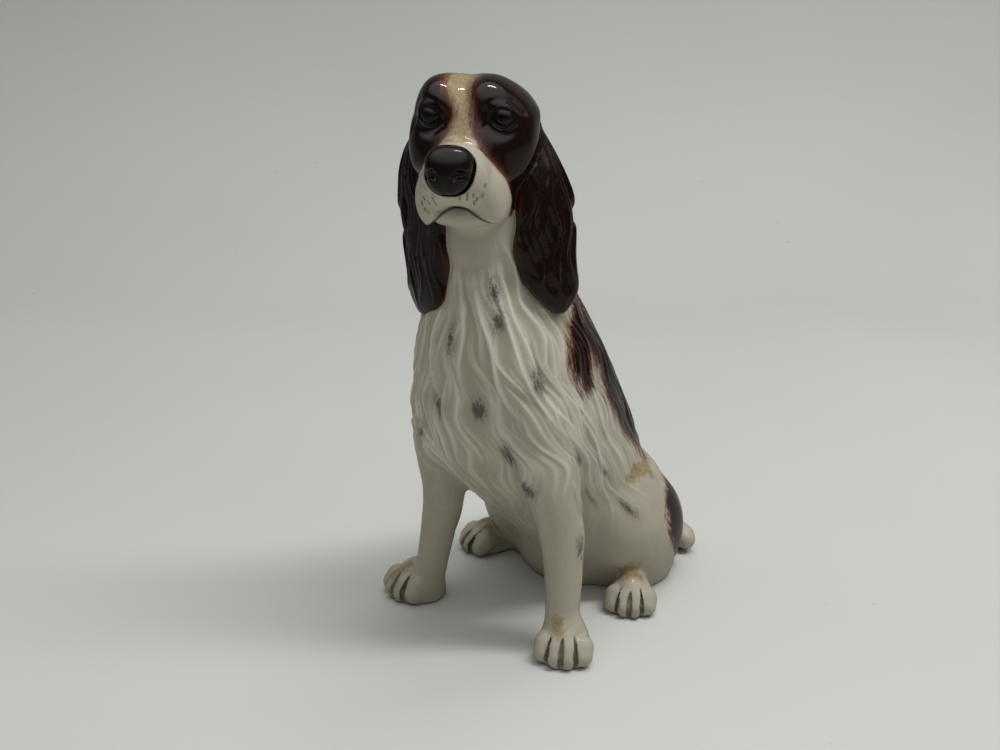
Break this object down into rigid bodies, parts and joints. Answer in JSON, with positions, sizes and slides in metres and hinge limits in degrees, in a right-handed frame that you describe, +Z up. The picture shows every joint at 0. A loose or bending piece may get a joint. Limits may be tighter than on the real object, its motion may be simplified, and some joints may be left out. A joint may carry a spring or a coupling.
{
  "type": "dog figure",
  "caption": "Seated spaniel figure in glazed earthenware: hollow torso and head joined at the neck, with ears, forelegs, hind paws and tail cast apart and stuck on.",
  "frame": {"origin": "middle of the torso's flat foot, at the level of the table that the paws stand on", "axes": "+Z up, -Y towards the dog's front, +X towards the dog's left"},
  "size_m": [0.1146, 0.162, 0.2301],
  "materials": {
    "body_glaze": "clear gloss glaze over a white body with painted spots and liver patches",
    "head_glaze": "clear gloss glaze over a liver mask with a white blaze and muzzle",
    "ear_glaze": "clear gloss glaze over dark liver brown, rubbed reddish on the edges"
  },
  "bodies": {
    "root": {"torso_casting": "body_glaze", "head_casting": "head_glaze", "left_ear": "ear_glaze", "right_ear": "ear_glaze", "left_foreleg": "body_glaze", "right_foreleg": "body_glaze", "left_hind_paw": "body_glaze", "right_hind_paw": "body_glaze", "tail": "body_glaze"}
  },
  "joints": []
}
